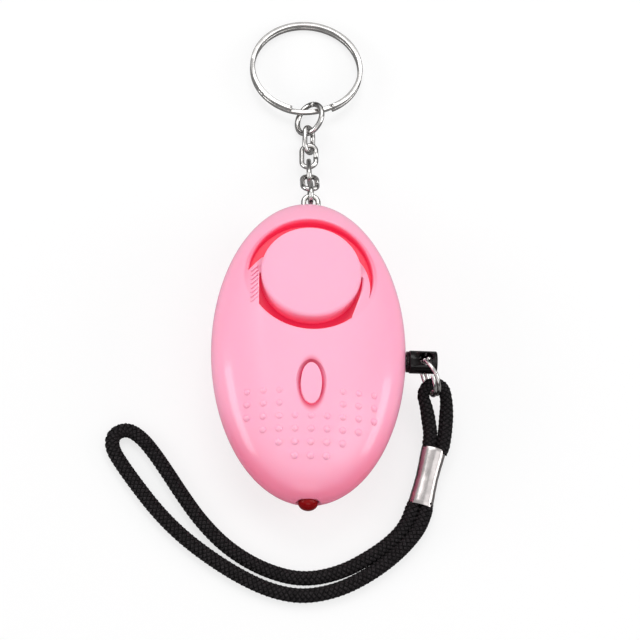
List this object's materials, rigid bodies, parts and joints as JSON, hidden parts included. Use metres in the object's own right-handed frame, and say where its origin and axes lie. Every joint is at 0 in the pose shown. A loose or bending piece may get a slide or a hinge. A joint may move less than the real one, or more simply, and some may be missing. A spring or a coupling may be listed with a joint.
{
  "type": "personal safety alarm",
  "caption": "Egg-shaped pocket alarm with a pull pin on a wrist cord, a siren, a light with its button, and a key ring on a short chain.",
  "frame": {"origin": "centre of the flat on the back cover, on the table that the alarm lies on", "axes": "+Z out of the front cover, +Y towards the key ring, +X towards the pull pin"},
  "size_m": [0.0691, 0.1337, 0.018],
  "materials": {
    "pink_plastic": "gloss",
    "red_lens": "clear gloss",
    "black_plastic": "satin",
    "nickel": "polished nickel plate",
    "crimp_metal": "satin",
    "cord": "braided",
    "board": "solder mask",
    "parts_black": "matt",
    "aluminium_can": "satin",
    "ferrite": "matt",
    "brass": "satin",
    "ceramic": "matt",
    "foam": "matt",
    "wire_insulation": "satin",
    "spring_steel": "bright",
    "cell_steel": "bright",
    "lamp": "clear"
  },
  "bodies": {
    "casing": {"front_cover": "pink_plastic", "back_cover": "pink_plastic", "case_screws": "nickel", "light_switch": "parts_black", "light_lens": "red_lens", "light_bulb": "lamp", "circuit_board": "board", "alarm_chip": "parts_black", "transistor": "parts_black", "capacitor": "aluminium_can", "resistors": "parts_black", "boost_coil": "ferrite", "button_cells": "cell_steel", "low_contact": "spring_steel", "top_contact": "spring_steel", "fixed_leaf": "spring_steel", "moving_leaf": "spring_steel", "siren_wires": "wire_insulation", "sound_ring": "pink_plastic", "siren_gasket": "foam", "siren_plate": "brass", "siren_ceramic": "ceramic", "siren_holder": "black_plastic", "anchor_post": "nickel"},
    "button": {"light_button": "pink_plastic"},
    "plunger": {"switch_plunger": "black_plastic"},
    "pin": {"pull_pin": "black_plastic"},
    "lanyard": {"pin_ring": "nickel", "ferrule": "crimp_metal", "cord_eye": "cord", "wrist_loop": "cord"},
    "anchor": {"anchor_link": "nickel"},
    "link_1": {"chain_link_1": "nickel"},
    "link_2": {"chain_link_2": "nickel"},
    "link_3": {"chain_link_3": "nickel"},
    "link_4": {"chain_link_4": "nickel"},
    "link_5": {"chain_link_5": "nickel"},
    "jump": {"jump_ring": "nickel"},
    "keys": {"key_ring": "nickel"}
  },
  "joints": [
    {"name": "button_press", "type": "slide", "parent": "casing", "child": "button", "axis": [0, 0, -1], "range_m": [0, 0.0003], "stiffness_N_per_m": 300},
    {"name": "plunger_press", "type": "slide", "parent": "casing", "child": "plunger", "axis": [0, 0, -1], "range_m": [0, 0.0003], "stiffness_N_per_m": 40},
    {"name": "pin_pull", "type": "slide", "parent": "casing", "child": "pin", "axis": [1, 0, 0], "range_m": [0, 0.012]},
    {"name": "lanyard_swing", "type": "hinge", "parent": "pin", "child": "lanyard", "pos_m": [0.0234, -0.0018, 0.009], "axis": [0, 0, 1], "range_deg": [-10, 70]},
    {"name": "anchor_swing", "type": "hinge", "parent": "casing", "child": "anchor", "pos_m": [0.0004, 0.03137, 0.009], "axis": [0, 0, 1], "range_deg": [-18, 18]},
    {"name": "link_1_swing", "type": "hinge", "parent": "anchor", "child": "link_1", "pos_m": [0.0004, 0.03553, 0.009], "axis": [1, 0, 0], "range_deg": [-25, 30]},
    {"name": "link_2_swing", "type": "hinge", "parent": "link_1", "child": "link_2", "pos_m": [0.0004, 0.03923, 0.00645], "axis": [0, -0.5664, -0.8241], "range_deg": [-25, 25]},
    {"name": "link_3_swing", "type": "hinge", "parent": "link_2", "child": "link_3", "pos_m": [0.0004, 0.04306, 0.00408], "axis": [1, 0, 0], "range_deg": [-25, 30]},
    {"name": "link_4_swing", "type": "hinge", "parent": "link_3", "child": "link_4", "pos_m": [0.0004, 0.04719, 0.00229], "axis": [0.0872, -0.3956, -0.9143], "range_deg": [-25, 25]},
    {"name": "link_5_swing", "type": "hinge", "parent": "link_4", "child": "link_5", "pos_m": [0.0004, 0.05174, 0.00211], "axis": [1, 0, 0], "range_deg": [-25, 8]},
    {"name": "jump_ring_swing", "type": "hinge", "parent": "link_5", "child": "jump", "pos_m": [0.0004, 0.05584, 0.00272], "axis": [0.6018, 0.118, -0.7899], "range_deg": [-25, 25]},
    {"name": "key_ring_swing", "type": "hinge", "parent": "jump", "child": "keys", "pos_m": [0.0005, 0.0596, 0.003], "axis": [1, 0, 0], "range_deg": [-15, 40]}
  ],
  "couplings": [
    {"joint": "plunger_press", "follows": "button_press", "ratio": 1}
  ]
}
